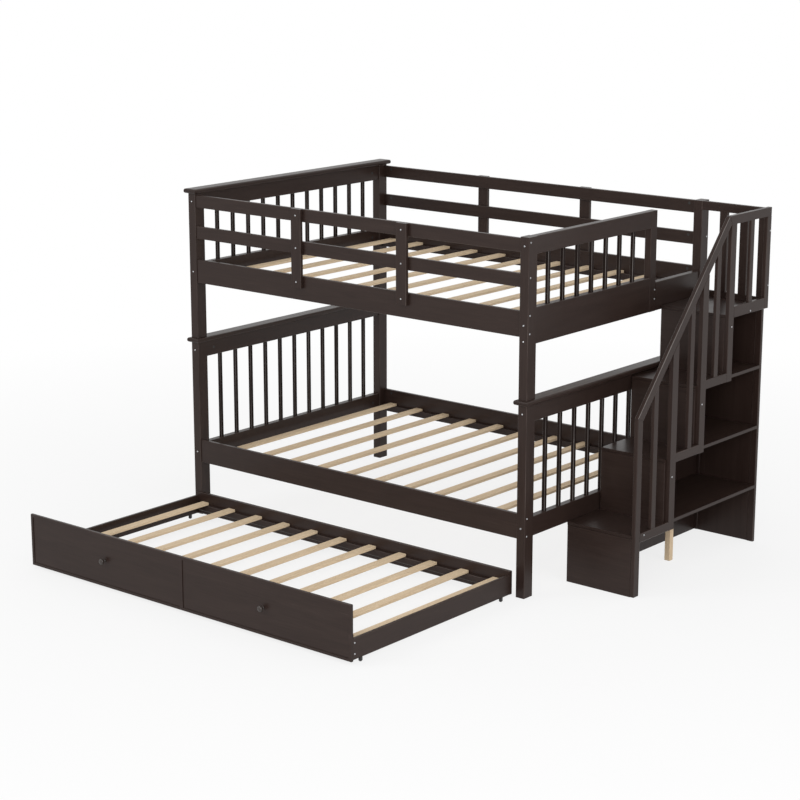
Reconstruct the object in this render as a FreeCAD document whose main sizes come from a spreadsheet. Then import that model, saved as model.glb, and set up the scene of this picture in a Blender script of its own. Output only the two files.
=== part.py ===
import FreeCAD, Part
import Sketcher
import math
import os
import re

# A bunk bed for two full mattresses, with a storage staircase at its foot end and a low
# trundle bed on casters that rolls out from under the lower bunk.
# X runs from the head end to the foot end, Y from the front to the back, and Z is up.
# The origin is on the floor under the middle of everything, with the trundle rolled out.

doc = FreeCAD.newDocument("BunkBed")

SIZES = {
    # Bed frame: outside size of the posts, and the posts themselves
    "bed_length": 2035,
    "bed_width": 1424,
    "post_thick": 46,
    "post_wide": 62,
    "lower_post_top": 871,
    "upper_post_top": 1602,
    "edge_chamfer": 2,
    # Rounded boards that lie on top of the posts
    "cap_thick": 22,
    "cap_overhang": 15,
    "cap_flat": 4,
    "cap_trim_gap": 3,
    # Dowels that stand in both posts and hold the upper bunk in place
    "dowel_radius": 7,
    "dowel_bolt_gap": 3,
    "dowel_clearance": 0.3,
    # Rails across the head and foot ends
    "end_rail_thick": 34,
    "top_rail_tall": 78,
    "lower_rail_bottom": 274,
    "lower_rail_tall": 88,
    # Heights in the upper bunk, as shares of the height of its posts
    "upper_board_level": 0.3406,
    "head_board_level": 0.4063,
    "head_board_share": 0.1133,
    "foot_board_share": 0.2247,
    "entry_board_share": 0.188,
    "board_bolt_low_level": 0.364,
    "board_bolt_high_level": 0.4627,
    "gate_screw_low_level": 0.4203,
    "gate_screw_high_level": 0.4809,
    "upper_side_level": 0.3879,
    "stile_level": 0.4711,
    "guard_middle_level": 0.6925,
    # Upright bars between those rails
    "baluster_thick": 17,
    "baluster_wide": 18,
    "tenon_long": 12,
    "tenon_clearance": 0.2,
    # Post beside the way in from the stairs
    "entry_gap": 370,
    "gate_wide": 49,
    "gate_screw_inset": 8,
    # Long rails at the front and back of both bunks
    "side_rail_thick": 18,
    "side_rail_tall": 114,
    "rail_recess": 5,
    "lower_side_bottom": 267,
    # Cleats on the long rails, and the slats that lie on them
    "cleat_wide": 22,
    "cleat_tall": 33,
    "cleat_end_gap": 4,
    "slat_wide": 44,
    "slat_thick": 12,
    "slat_end_inset": 67,
    "slat_corner": 2,
    "slat_end_gap": 1,
    # Guards at the front and back of the upper bunk
    "guard_top_drop": 7,
    "guard_top_tall": 60,
    "guard_middle_tall": 60,
    "stile_wide": 60,
    "stile_thick": 18,
    "stile_offset": 316,
    "stile_shift": 9,
    "guard_bolt_lift": 14,
    # Staircase: four steps, each one a shelf that runs back to the same line
    "stair_gap": 0.5,
    "stair_width": 341,
    "stair_setback": 61,
    "stair_depth": 1044.5,
    "first_step": 281,
    "step_rise": 291,
    "first_going": 253.5,
    "step_going": 231,
    "tread_thick": 15,
    "panel_thick": 15,
    "back_post_wide": 32,
    "back_post_thick": 18,
    "back_panel_thick": 10,
    "back_panel_inset": 3,
    "back_panel_rise": 29,
    "leg_side": 29,
    "leg_from_bed": 169.5,
    "leg_from_front": 541.5,
    "batten_side": 29,
    # Handrail outside the stairs
    "handrail_thick": 20,
    "handrail_wide": 41,
    "handrail_top": 1607,
    "newel_top": 810,
    "newel_wide": 40.5,
    "slope_run": 697.5,
    "handrail_past_back": 19,
    "handrail_post_wide": 45,
    "handrail_post_1": 265.5,
    "handrail_post_2": 496.5,
    "handrail_post_3": 717,
    "end_post_wide": 36,
    "foot_rail_drop_1": 36,
    "foot_rail_drop_2": 20,
    "foot_rail_drop_3": 20,
    "foot_rail_drop_4": 18,
    "foot_rail_tall_1": 40,
    "foot_rail_tall_2": 42,
    "foot_rail_tall_3": 42,
    "foot_rail_tall_4": 51,
    "bar_wide": 32,
    "bar_thick": 15,
    "bar_centre_1": 145.5,
    "bar_centre_2": 423.5,
    "bar_centre_3": 625.5,
    "bar_centre_4": 904.5,
    # Guard across the back of the top step
    "landing_rail_tall": 42,
    "landing_rail_top": 1602,
    "landing_thick": 18,
    "landing_inset": 1,
    "landing_stile_wide": 42,
    "landing_stile_1": 95,
    "landing_stile_2": 205,
    "landing_end_wide": 38,
    # Trundle, rolled out
    "trundle_out": 1094,
    "trundle_side_gap": 3,
    "trundle_depth": 1071,
    "trundle_panel_thick": 14,
    "trundle_panel_bottom": 15,
    "trundle_panel_top": 258,
    "field_border": 13,
    "field_middle": 20,
    "field_depth": 3,
    "trundle_rail_bottom": 20,
    "trundle_rail_tall": 102,
    "trundle_back_tall": 108,
    "trundle_end_tall": 91,
    "trundle_rail_thick": 18,
    "trundle_end_thick": 14,
    "trundle_cleat_bottom": 44,
    "trundle_cleat_tall": 30,
    "trundle_cleat_wide": 20,
    "trundle_slat_thick": 12,
    "trundle_slat_inset": 52.5,
    # Knobs on the trundle's front
    "knob_radius": 14,
    "knob_half_thick": 7,
    "knob_reach": 24,
    "knob_stem_radius": 8,
    # Small casters under the trundle's end boards
    "caster_inset": 52,
    "wheel_radius": 9,
    "wheel_wide": 8,
    "wheel_chamfer": 1,
    "wheel_side_gap": 0.4,
    "wheel_top_gap": 0.6,
    "fork_cheek": 1.6,
    "fork_length": 12,
    "fork_lift": 4,
    "axle_radius": 1.5,
    "axle_clearance": 0.05,
    "caster_stem_radius": 3,
    "caster_stem_long": 26,
    "caster_stem_clearance": 0.3,
    # Bolts and the barrel nuts that they screw into
    "bolt_radius": 3,
    "bolt_clearance": 0.3,
    "bolt_head_radius": 4,
    "bolt_head_thick": 2,
    "bolt_bite": 62,
    "bolt_spread": 40,
    "stair_bolt_drop_2": 66,
    "stair_bolt_drop_3": 69,
    "stair_bolt_drop_4": 43,
    "stair_bolt_bite": 24,
    "foot_bolt_inset": 30,
    "landing_bolt_low": 60,
    "landing_bolt_high": 315,
    "trundle_bolt_low": 25,
    "trundle_bolt_high": 72,
    "trundle_bolt_bite": 40,
    "nut_radius": 6.5,
    "nut_long": 13,
    "nut_inset": 50,
    # How far a cutting block reaches past what it trims
    "trim_margin": 5,
}
END_BALUSTERS = 11
GATE_BALUSTERS = 7
SLATS = 11
STEPS = 4

sheet = doc.addObject("Spreadsheet::Sheet", "Sizes")
for row, (size_name, size) in enumerate(SIZES.items(), start=1):
    sheet.set("A%d" % row, size_name)
    sheet.set("B%d" % row, str(size))
    sheet.setAlias("B%d" % row, size_name)
doc.recompute()

ORIGIN_X = "(bed_length + stair_gap + stair_width + handrail_thick + bolt_head_thick - cap_overhang) / 2"
ORIGIN_Y = "(bed_width - rail_recess + stile_thick + bolt_head_thick - trundle_out - knob_reach) / 2"

# Every solid is listed under the piece it belongs to, and so is what is bored out of that piece.
solids = {}
holes = {}


def formula(text):
    """The text as an expression in which every size named is read from the sheet."""
    return re.sub(r"[a-z][a-z0-9_]*", lambda word: "Sizes." + word[0] if word[0] in SIZES else word[0], text)


def bind(thing, **texts):
    """Tie properties of a thing to formulas."""
    for name, text in texts.items():
        thing.setExpression(name, formula(text))


def place(thing, x, y, z):
    """Put a thing at x, y, z, counted from the front left post's outer corner at the floor."""
    thing.setExpression("Placement.Base.x", formula("(%s) - %s" % (x, ORIGIN_X)))
    thing.setExpression("Placement.Base.y", formula("(%s) - %s" % (y, ORIGIN_Y)))
    thing.setExpression("Placement.Base.z", formula(z))


def add(piece, solid):
    """List a solid under the piece it belongs to."""
    solids.setdefault(piece, []).append(solid)


def bore(tool, *pieces):
    """Cut the tool out of each of the pieces named."""
    for piece in pieces:
        holes.setdefault(piece, []).append(tool)


def next_name(piece):
    """A name for the next solid of a piece."""
    return "%s_solid_%d" % (piece, len(solids.get(piece, [])) + 1)


def block(name, x, y, z, length, width, height):
    """A square-edged block, with its length along X, width along Y and height along Z."""
    box = doc.addObject("Part::Box", name)
    bind(box, Length=length, Width=width, Height=height)
    place(box, x, y, z)
    return box


EDGES_ALONG = {"x": (9, 10, 11, 12), "y": (2, 4, 6, 8), "z": (1, 3, 5, 7)}


def edge_names(*directions):
    """The names of a box's edges that run in these directions."""
    return ["Edge%d" % number for direction in directions for number in EDGES_ALONG[direction]]


def board(piece, along, x, y, z, length, width, height, ease="edge_chamfer"):
    """Add a planed board with eased edges along one direction to a piece."""
    name = next_name(piece)
    body = doc.addObject("PartDesign::Body", name)
    blank = body.newObject("PartDesign::AdditiveBox", name + "_blank")
    bind(blank, Length=length, Width=width, Height=height)
    blank.recompute()
    eased = body.newObject("PartDesign::Chamfer", name + "_eased")
    eased.Base = (blank, edge_names(along))
    bind(eased, Size=ease)
    place(body, x, y, z)
    add(piece, body)


def plane(body, role):
    """One of the base planes of a body."""
    return [part for part in body.Origin.OriginFeatures if part.Role == role][0]


def profile_board(piece, x, corners, thick):
    """Add a board cut to an outline in the Y and Z directions, and thick along X, to a piece."""
    name = next_name(piece)
    body = doc.addObject("PartDesign::Body", name)
    sketch = body.newObject("Sketcher::SketchObject", name + "_outline")
    sketch.AttachmentSupport = [(plane(body, "YZ_Plane"), "")]
    sketch.MapMode = "FlatFace"
    count = len(corners)
    turns = [2 * math.pi * number / count for number in range(count)]
    starts = [FreeCAD.Vector(math.cos(turn), math.sin(turn), 0) for turn in turns]
    for number, start in enumerate(starts):
        sketch.addGeometry(Part.LineSegment(start, starts[(number + 1) % count]), False)
    for number in range(count):
        sketch.addConstraint(Sketcher.Constraint("Coincident", number, 2, (number + 1) % count, 1))
    for number, (across, up) in enumerate(corners):
        held = sketch.addConstraint(Sketcher.Constraint("DistanceX", -1, 1, number, 1, 1.0))
        sketch.setExpression("Constraints[%d]" % held, formula(across))
        held = sketch.addConstraint(Sketcher.Constraint("DistanceY", -1, 1, number, 1, 1.0))
        sketch.setExpression("Constraints[%d]" % held, formula(up))
    pad = body.newObject("PartDesign::Pad", name + "_pad")
    pad.Profile = sketch
    bind(pad, Length=thick)
    place(body, x, "0", "0")
    add(piece, body)


TURN_TO = {
    "+x": FreeCAD.Rotation(FreeCAD.Vector(0, 1, 0), 90),
    "-x": FreeCAD.Rotation(FreeCAD.Vector(0, 1, 0), -90),
    "+y": FreeCAD.Rotation(FreeCAD.Vector(1, 0, 0), -90),
    "-y": FreeCAD.Rotation(FreeCAD.Vector(1, 0, 0), 90),
    "+z": FreeCAD.Rotation(),
}
OPPOSITE = {"+x": "-x", "-x": "+x", "+y": "-y", "-y": "+y"}


def rod(name, axis, x, y, z, radius, length):
    """A round rod that starts at x, y, z and runs along an axis."""
    cylinder = doc.addObject("Part::Cylinder", name)
    cylinder.Placement = FreeCAD.Placement(FreeCAD.Vector(), TURN_TO[axis])
    bind(cylinder, Radius=radius, Height=length)
    place(cylinder, x, y, z)
    return cylinder


def bolt(piece, axis, x, y, z, shank, *bored):
    """Add a bolt whose head lies on a face at x, y, z, and bore its hole in what it passes through."""
    name = next_name(piece)
    whole = doc.addObject("Part::Fuse", name)
    whole.Base = rod(name + "_head", OPPOSITE[axis], x, y, z, "bolt_head_radius", "bolt_head_thick")
    whole.Tool = rod(name + "_shank", axis, x, y, z, "bolt_radius", shank)
    add(piece, whole)
    hole = rod(name + "_hole", axis, x, y, z, "bolt_radius + bolt_clearance", shank + " + bolt_clearance")
    bore(hole, *bored)
    return hole


def barrel_nut(axis, x, y, z, bolt_hole, rail):
    """Add a barrel nut let into a rail's face at x, y, z, across a bolt."""
    name = next_name("barrel_nuts")
    nut = doc.addObject("Part::Cut", name)
    nut.Base = rod(name + "_pin", axis, x, y, z, "nut_radius", "nut_long")
    nut.Tool = bolt_hole
    add("barrel_nuts", nut)
    bore(rod(name + "_pocket", axis, x, y, z, "nut_radius + bolt_clearance", "nut_long"), rail)


# Posts: two lower and two upper at each end, the upper ones standing on the caps of the lower ones.
POST_X = {"left": "0", "right": "bed_length - post_thick"}
POST_Y = {"front": "0", "back": "bed_width - post_wide"}
UPPER_FOOT = "(lower_post_top + cap_thick)"
UPPER_TALL = "(upper_post_top - %s)" % UPPER_FOOT
DOWEL_DEPTH = "(top_rail_tall / 2 - bolt_radius - dowel_bolt_gap)"
for side, post_x in POST_X.items():
    for depth, post_y in POST_Y.items():
        lower_post = "lower_%s_%s_post" % (depth, side)
        upper_post = "upper_%s_%s_post" % (depth, side)
        cap_between = "lower_head_cap" if side == "left" else "lower_foot_cap"
        board(lower_post, "z", post_x, post_y, "0", "post_thick", "post_wide", "lower_post_top")
        board(upper_post, "z", post_x, post_y, UPPER_FOOT, "post_thick", "post_wide", UPPER_TALL)

        # A dowel through the cap pins each upper post to the lower one.
        dowel_foot = "lower_post_top - " + DOWEL_DEPTH
        dowel_at = (post_x + " + post_thick / 2", post_y + " + post_wide / 2", dowel_foot)
        dowel_long = "2 * %s + cap_thick" % DOWEL_DEPTH
        name = next_name("post_dowels")
        add("post_dowels", rod(name, "+z", *dowel_at, "dowel_radius", dowel_long))
        dowel_hole = rod(name + "_hole", "+z", *dowel_at, "dowel_radius + dowel_clearance", dowel_long)
        bore(dowel_hole, lower_post, upper_post, cap_between)


def cap(piece, x, z):
    """Add a round-edged board that lies over a front and a back post."""
    body = doc.addObject("PartDesign::Body", next_name(piece))
    blank = body.newObject("PartDesign::AdditiveBox", piece + "_blank")
    length = "post_thick + 2 * cap_overhang"
    bind(blank, Length=length, Width="bed_width + 2 * cap_overhang", Height="cap_thick")
    blank.recompute()
    rounded = body.newObject("PartDesign::Fillet", piece + "_rounded")
    rounded.Base = (blank, edge_names("x", "y"))
    bind(rounded, Radius="(cap_thick - cap_flat) / 2")
    place(body, x + " - cap_overhang", "-cap_overhang", z)
    add(piece, body)


cap("lower_head_cap", POST_X["left"], "lower_post_top")
cap("lower_foot_cap", POST_X["right"], "lower_post_top")
cap("upper_head_cap", POST_X["left"], "upper_post_top")


# The stairs stand at the foot end with their back near the bed's back.
STAIR_BACK = "(bed_width - stair_setback)"
STAIR_FRONT = "(%s - stair_depth)" % STAIR_BACK


def step_front(step):
    """Where the front of a step is, in the Y direction."""
    if step == 1:
        return STAIR_FRONT
    return "(%s + first_going + %d * step_going)" % (STAIR_FRONT, step - 2)


def step_top(step):
    """How high the top of a step is."""
    return "(first_step + %d * step_rise)" % (step - 1)


# Beside the top step the foot cap is cut flush with the posts, to let the stairs stand close.
trim_start = step_front(STEPS) + " - cap_trim_gap"
bore(
    block("foot_cap_trim", "bed_length", trim_start, "lower_post_top - trim_margin",
          "cap_overhang + trim_margin", "bed_width + cap_overhang + trim_margin - (%s)" % trim_start,
          "cap_thick + 2 * trim_margin"),
    "lower_foot_cap",
)

# Rails across the ends, set in the middle of the posts' thickness, with upright bars between them.
RAIL_X = {
    "head": "(post_thick - end_rail_thick) / 2",
    "foot": "bed_length - (post_thick + end_rail_thick) / 2",
}
END_SPAN = "bed_width - 2 * post_wide"
BALUSTER_PITCH = "((%s) / %d)" % (END_SPAN, END_BALUSTERS + 1)
GATE_START = "(bed_width - post_wide - entry_gap - gate_wide)"
GATE_SPAN = "%s - post_wide" % GATE_START
LOWER_TOP_RAIL = "lower_post_top - top_rail_tall"
UPPER_TOP_RAIL = "upper_post_top - top_rail_tall"


def upper_level(share):
    """A height in the upper bunk, at a share of the way up its posts."""
    return "(%s + %s * %s)" % (UPPER_FOOT, share, UPPER_TALL)


def upper_share(share):
    """A length in the upper bunk, as a share of the height of its posts."""
    return "(%s * %s)" % (share, UPPER_TALL)


UPPER_BOARD = upper_level("upper_board_level")
HEAD_BOARD = upper_level("head_board_level")


def end_rail(piece, end, y, z, span, tall):
    """Add a rail that runs along Y in the plane of one end."""
    board(piece, "y", RAIL_X[end], y, z, "end_rail_thick", span, tall)


def balusters(piece, end, count, low, high, *rails):
    """Add upright bars from the front post on, tenoned into the rails below and above them."""
    x = "%s + (end_rail_thick - baluster_thick) / 2" % RAIL_X[end]
    z = "%s - tenon_long" % low
    tall = "%s - (%s) + 2 * tenon_long" % (high, low)
    for number in range(count):
        y = "post_wide + %d * %s - baluster_wide / 2" % (number + 1, BALUSTER_PITCH)
        name = next_name(piece)
        add(piece, block(name, x, y, z, "baluster_thick", "baluster_wide", tall))
        mortise = block(
            name + "_mortise", x + " - tenon_clearance", y + " - tenon_clearance", z,
            "baluster_thick + 2 * tenon_clearance", "baluster_wide + 2 * tenon_clearance",
            tall + " + tenon_clearance",
        )
        bore(mortise, *rails)


for end in ("head", "foot"):
    end_rail("lower_bottom_end_rails", end, "post_wide", "lower_rail_bottom", END_SPAN, "lower_rail_tall")
    end_rail("lower_top_end_rails", end, "post_wide", LOWER_TOP_RAIL, END_SPAN, "top_rail_tall")
    balusters("lower_balusters", end, END_BALUSTERS, "lower_rail_bottom + lower_rail_tall",
              LOWER_TOP_RAIL, "lower_bottom_end_rails", "lower_top_end_rails")

end_rail("upper_head_board", "head", "post_wide", HEAD_BOARD, END_SPAN, upper_share("head_board_share"))
end_rail("upper_head_top_rail", "head", "post_wide", UPPER_TOP_RAIL, END_SPAN, "top_rail_tall")
balusters("upper_head_balusters", "head", END_BALUSTERS,
          HEAD_BOARD + " + " + upper_share("head_board_share"), UPPER_TOP_RAIL,
          "upper_head_board", "upper_head_top_rail")

# The upper foot end stops at a gate post, and a lower board closes the way in from the stairs.
gate_end = "(%s + gate_wide)" % GATE_START
end_rail("upper_foot_board", "foot", "post_wide", UPPER_BOARD, GATE_SPAN, upper_share("foot_board_share"))
end_rail("upper_foot_top_rail", "foot", "post_wide", UPPER_TOP_RAIL, GATE_SPAN, "top_rail_tall")
balusters("upper_foot_balusters", "foot", GATE_BALUSTERS,
          UPPER_BOARD + " + " + upper_share("foot_board_share"), UPPER_TOP_RAIL,
          "upper_foot_board", "upper_foot_top_rail")
board("gate_post", "z", RAIL_X["foot"], GATE_START, UPPER_BOARD,
      "end_rail_thick", "gate_wide", "upper_post_top - " + UPPER_BOARD)
end_rail("entry_board", "foot", gate_end, UPPER_BOARD, "entry_gap", upper_share("entry_board_share"))

# Bolts through the posts hold those rails, each in a barrel nut let in from the bed's side.
LOWER_RAIL_BOLT = "lower_rail_bottom + lower_rail_tall / 2"
LOWER_TOP_BOLT = LOWER_TOP_RAIL + " + top_rail_tall / 2"
UPPER_TOP_BOLT = UPPER_TOP_RAIL + " + top_rail_tall / 2"
BOARD_BOLT_LOW = upper_level("board_bolt_low_level")
BOARD_BOLT_HIGH = upper_level("board_bolt_high_level")
BOTH = ("front", "back")
END_BOLTS = (
    ("lower", "head", "lower_bottom_end_rails", LOWER_RAIL_BOLT, BOTH),
    ("lower", "head", "lower_top_end_rails", LOWER_TOP_BOLT, BOTH),
    ("lower", "foot", "lower_bottom_end_rails", LOWER_RAIL_BOLT, BOTH),
    ("lower", "foot", "lower_top_end_rails", LOWER_TOP_BOLT, BOTH),
    ("upper", "head", "upper_head_board", BOARD_BOLT_HIGH, BOTH),
    ("upper", "head", "upper_head_top_rail", UPPER_TOP_BOLT, BOTH),
    ("upper", "foot", "upper_foot_board", BOARD_BOLT_HIGH, ("front",)),
    ("upper", "foot", "upper_foot_board", BOARD_BOLT_LOW, ("front",)),
    ("upper", "foot", "upper_foot_top_rail", UPPER_TOP_BOLT, ("front",)),
    ("upper", "foot", "entry_board", BOARD_BOLT_HIGH, ("back",)),
    ("upper", "foot", "entry_board", BOARD_BOLT_LOW, ("back",)),
)
SIDE_OF_END = {"head": "left", "foot": "right"}
for bunk, end, rail, bolt_z, depths in END_BOLTS:
    side = SIDE_OF_END[end]
    bolt_x = POST_X[side] + " + post_thick / 2"
    nut_x, nut_axis = {
        "head": (RAIL_X["head"] + " + end_rail_thick", "-x"),
        "foot": (RAIL_X["foot"], "+x"),
    }[end]
    for depth in depths:
        bolt_y, nut_y, axis = {
            "front": ("0", "post_wide + nut_inset", "+y"),
            "back": ("bed_width", "bed_width - post_wide - nut_inset", "-y"),
        }[depth]
        post = "%s_%s_%s_post" % (bunk, depth, side)
        hole = bolt("bed_bolts", axis, bolt_x, bolt_y, bolt_z, "post_wide + bolt_bite", post, rail)
        barrel_nut(nut_axis, nut_x, nut_y, bolt_z, hole, rail)

# Two short screws steady the gate post.
for screw_level in ("gate_screw_low_level", "gate_screw_high_level"):
    bolt("bed_bolts", "-x", RAIL_X["foot"] + " + end_rail_thick", gate_end + " - gate_screw_inset",
         upper_level(screw_level), "end_rail_thick / 2", "gate_post")

# Long rails between the posts, for both bunks and for the guards of the upper bunk.
LONG_SPAN = "bed_length - 2 * post_thick"
RAIL_Y = {"front": "rail_recess", "back": "bed_width - rail_recess - side_rail_thick"}
INNER_Y = {"front": "(rail_recess + side_rail_thick)", "back": "(bed_width - rail_recess - side_rail_thick)"}
UPPER_SIDE = upper_level("upper_side_level")
SIDE_BOTTOM = {"lower": "lower_side_bottom", "upper": UPPER_SIDE}
GUARD_TOP = "upper_post_top - guard_top_drop - guard_top_tall"
GUARD_MIDDLE = upper_level("guard_middle_level")
STILE_FOOT = upper_level("stile_level")


def long_rail(bunk, piece, depth, z, tall, bolt_heights):
    """Add a rail between two posts, with bolts through the posts into its ends."""
    board(piece, "x", "post_thick", RAIL_Y[depth], z, LONG_SPAN, "side_rail_thick", tall)
    nut_axis = {"front": "-y", "back": "+y"}[depth]
    bolt_y = RAIL_Y[depth] + " + side_rail_thick / 2"
    for bolt_z in bolt_heights:
        for side in ("left", "right"):
            bolt_x, nut_x, axis = {
                "left": ("0", "post_thick + nut_inset", "+x"),
                "right": ("bed_length", "bed_length - post_thick - nut_inset", "-x"),
            }[side]
            post = "%s_%s_%s_post" % (bunk, depth, side)
            hole = bolt("bed_bolts", axis, bolt_x, bolt_y, bolt_z, "post_thick + bolt_bite", post, piece)
            barrel_nut(nut_axis, nut_x, INNER_Y[depth], bolt_z, hole, piece)


for depth in ("front", "back"):
    for bunk, bottom in SIDE_BOTTOM.items():
        middle = bottom + " + side_rail_tall / 2"
        long_rail(bunk, "%s_side_rails" % bunk, depth, bottom, "side_rail_tall",
                  (middle + " - bolt_spread", middle + " + bolt_spread"))

        # The cleat is a strip on the inside of the rail, flush with its bottom edge.
        cleat_y = INNER_Y[depth] if depth == "front" else INNER_Y[depth] + " - cleat_wide"
        board("bunk_slat_cleats", "x", "post_thick + cleat_end_gap", cleat_y, bottom,
              LONG_SPAN + " - 2 * cleat_end_gap", "cleat_wide", "cleat_tall")
    long_rail("upper", "guard_top_rails", depth, GUARD_TOP, "guard_top_tall",
              (GUARD_TOP + " + guard_top_tall / 2 + guard_bolt_lift",))
    long_rail("upper", "guard_middle_rails", depth, GUARD_MIDDLE, "guard_middle_tall",
              (GUARD_MIDDLE + " + guard_middle_tall / 2 + guard_bolt_lift",))

    # Two stiles on the outside tie the guard rails to the long rail. The guard at the back is the one
    # at the front turned round, so its stiles are shifted the other way.
    stile_y, face_y, axis, shift = {
        "front": ("rail_recess - stile_thick", "rail_recess - stile_thick", "+y", "+"),
        "back": ("bed_width - rail_recess", "bed_width - rail_recess + stile_thick", "-y", "-"),
    }[depth]
    for direction in ("-", "+"):
        stile_x = "bed_length / 2 %s stile_shift %s stile_offset" % (shift, direction)
        board("guard_stiles", "z", stile_x + " - stile_wide / 2", stile_y, STILE_FOOT,
              "stile_wide", "stile_thick", "upper_post_top - guard_top_drop - " + STILE_FOOT)
        for rail, bolt_z in (
            ("upper_side_rails", "(%s + %s + side_rail_tall) / 2" % (STILE_FOOT, UPPER_SIDE)),
            ("guard_middle_rails", GUARD_MIDDLE + " + guard_middle_tall / 2"),
            ("guard_top_rails", GUARD_TOP + " + guard_top_tall / 2"),
        ):
            bolt("bed_bolts", axis, stile_x, face_y, bolt_z, "stile_thick + side_rail_thick / 2",
                 "guard_stiles", rail)


def slats(piece, start, inset, thick, low, front, back):
    """Add evenly spaced slats across the bed, lying on cleats, from a start to the same at the other end."""
    first = "(%s + %s)" % (start, inset)
    pitch = "((bed_length - 2 * %s) / %d)" % (first, SLATS - 1)
    for number in range(SLATS):
        middle = "%s + %d * %s" % (first, number, pitch)
        board(piece, "z", middle + " - slat_wide / 2", front + " + slat_end_gap", low,
              "slat_wide", "%s - %s - 2 * slat_end_gap" % (back, front), thick, "slat_corner")


for bottom in SIDE_BOTTOM.values():
    slats("bunk_slats", "post_thick", "slat_end_inset", "slat_thick", bottom + " + cleat_tall",
          INNER_Y["front"], INNER_Y["back"])

# Staircase: boards between the levels, open on the side away from the bed.
STAIR_X = "(bed_length + stair_gap)"
for step in range(1, STEPS + 1):
    floor = "0" if step == 1 else step_top(step - 1)
    under = "%s - tread_thick" % step_top(step)
    front = step_front(step)
    depth = "%s - %s" % (STAIR_BACK, front)
    board("stair_treads", "x", STAIR_X, front, under, "stair_width", depth, "tread_thick")
    tall = "%s - %s" % (under, floor)
    board("stair_risers", "z", STAIR_X, front, floor, "stair_width", "panel_thick", tall)
    board("stair_side_panels", "z", STAIR_X, front + " + panel_thick", floor, "panel_thick",
          depth + " - panel_thick", tall)

back_top = step_top(STEPS) + " + back_panel_rise"
for post_x in (STAIR_X, STAIR_X + " + stair_width - back_post_wide"):
    board("stair_back_posts", "z", post_x, STAIR_BACK, "0", "back_post_wide", "back_post_thick", back_top)
board("stair_back_panel", "z", STAIR_X + " + back_post_wide", STAIR_BACK + " + back_panel_inset", "0",
      "stair_width - 2 * back_post_wide", "back_panel_thick", back_top)
board("stair_support_leg", "z", STAIR_X + " + leg_from_bed", STAIR_FRONT + " + leg_from_front", "0",
      "leg_side", "leg_side", "first_step - tread_thick")

# Handrail: an upright newel, a rail that climbs with the steps and a level rail over the top step,
# all in one plane outside the stairs and mitred where they meet.
HANDRAIL_X = STAIR_X + " + stair_width"
SLOPE = "((handrail_top - newel_top) / slope_run)"
SLOPE_END = "(%s + slope_run)" % STAIR_FRONT
HANDRAIL_END = "(%s + handrail_past_back)" % STAIR_BACK
RAIL_DROP = "(handrail_wide * sqrt(1 + %s * %s))" % (SLOPE, SLOPE)
LEVEL_UNDER = "(handrail_top - handrail_wide)"


def slope_under(y):
    """How high the underside of the climbing rail is at a place along Y."""
    return "(newel_top - %s + (%s - %s) * %s)" % (RAIL_DROP, y, STAIR_FRONT, SLOPE)


newel_back = "(%s + newel_wide)" % STAIR_FRONT
inner_mitre = "(%s + (%s - newel_top + %s) / %s)" % (STAIR_FRONT, LEVEL_UNDER, RAIL_DROP, SLOPE)
newel_outline = (
    (STAIR_FRONT, "0"),
    (newel_back, "0"),
    (newel_back, slope_under(newel_back)),
    (STAIR_FRONT, "newel_top"),
)
profile_board("handrail_newel", HANDRAIL_X, newel_outline, "handrail_thick")
climbing_outline = (
    (STAIR_FRONT, "newel_top"),
    (newel_back, slope_under(newel_back)),
    (inner_mitre, LEVEL_UNDER),
    (SLOPE_END, "handrail_top"),
)
profile_board("handrail_climbing_rail", HANDRAIL_X, climbing_outline, "handrail_thick")
level_outline = (
    (SLOPE_END, "handrail_top"),
    (inner_mitre, LEVEL_UNDER),
    (HANDRAIL_END, LEVEL_UNDER),
    (HANDRAIL_END, "handrail_top"),
)
profile_board("handrail_level_rail", HANDRAIL_X, level_outline, "handrail_thick")

# Posts stand under the climbing rail, and a foot rail with one bar fills each bay between them.
BAY_ENDS = ["(%s + handrail_post_%d)" % (STAIR_FRONT, post) for post in range(1, STEPS)]
BAY_STARTS = [newel_back] + ["(%s + handrail_post_wide)" % post_start for post_start in BAY_ENDS]
BAY_ENDS.append("(%s - end_post_wide)" % HANDRAIL_END)
BAR_X = HANDRAIL_X + " + (handrail_thick - bar_thick) / 2"
SLOPED_POSTS = (1, 2)
SLOPED_BARS = (1, 2, 3)
for bay in range(1, STEPS + 1):
    start = BAY_STARTS[bay - 1]
    end = BAY_ENDS[bay - 1]
    foot = "(%s - foot_rail_drop_%d)" % (step_top(bay), bay)
    foot_top = "(%s + foot_rail_tall_%d)" % (foot, bay)
    board("handrail_foot_rails", "y", HANDRAIL_X, start, foot,
          "handrail_thick", "%s - %s" % (end, start), "foot_rail_tall_%d" % bay)
    bar_start = "(%s + bar_centre_%d - bar_wide / 2)" % (STAIR_FRONT, bay)
    bar_end = "(%s + bar_centre_%d + bar_wide / 2)" % (STAIR_FRONT, bay)
    wide = "end_post_wide" if bay == STEPS else "handrail_post_wide"
    if bay in SLOPED_POSTS:
        post_end = "(%s + %s)" % (end, wide)
        post_outline = (
            (end, foot),
            (post_end, foot),
            (post_end, slope_under(post_end)),
            (end, slope_under(end)),
        )
        profile_board("handrail_posts", HANDRAIL_X, post_outline, "handrail_thick")
    else:
        board("handrail_posts", "z", HANDRAIL_X, end, foot,
              "handrail_thick", wide, "%s - %s" % (LEVEL_UNDER, foot))
    if bay in SLOPED_BARS:
        bar_outline = (
            (bar_start, foot_top),
            (bar_end, foot_top),
            (bar_end, slope_under(bar_end)),
            (bar_start, slope_under(bar_start)),
        )
        profile_board("handrail_bars", BAR_X, bar_outline, "bar_thick")
    else:
        board("handrail_bars", "z", BAR_X, bar_start, foot_top,
              "bar_thick", "bar_wide", "%s - %s" % (LEVEL_UNDER, foot_top))

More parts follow.
